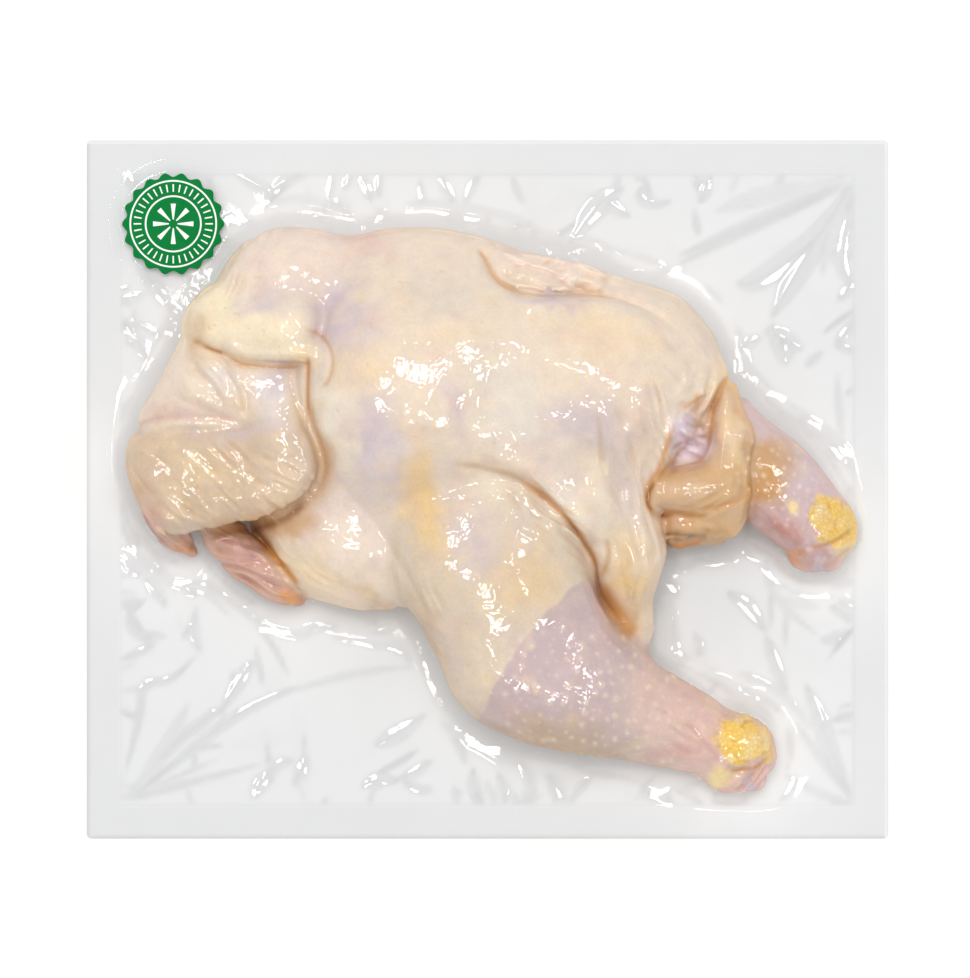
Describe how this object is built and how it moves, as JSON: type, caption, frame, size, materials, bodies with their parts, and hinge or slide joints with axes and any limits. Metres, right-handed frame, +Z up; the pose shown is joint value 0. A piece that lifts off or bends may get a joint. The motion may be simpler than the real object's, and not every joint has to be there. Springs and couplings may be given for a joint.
{
  "type": "vacuum-packed whole raw chicken",
  "caption": "Whole raw chicken sealed under vacuum in a clear rectangular film bag with a plain round label.",
  "frame": {"origin": "middle of the pack's underside, on the surface it lies on", "axes": "+X along the bag from the neck end to the hocks, +Y to the side of the far wing, +Z up out of the shown side"},
  "size_m": [0.35, 0.305, 0.0845],
  "materials": {
    "film_over_skin": "clear glossy film drawn tight over raw cream and pink skin",
    "label_paper": "printed satin sticker, green with white rings"
  },
  "bodies": {
    "root": {"packed_chicken": "film_over_skin", "round_label": "label_paper"}
  },
  "joints": []
}
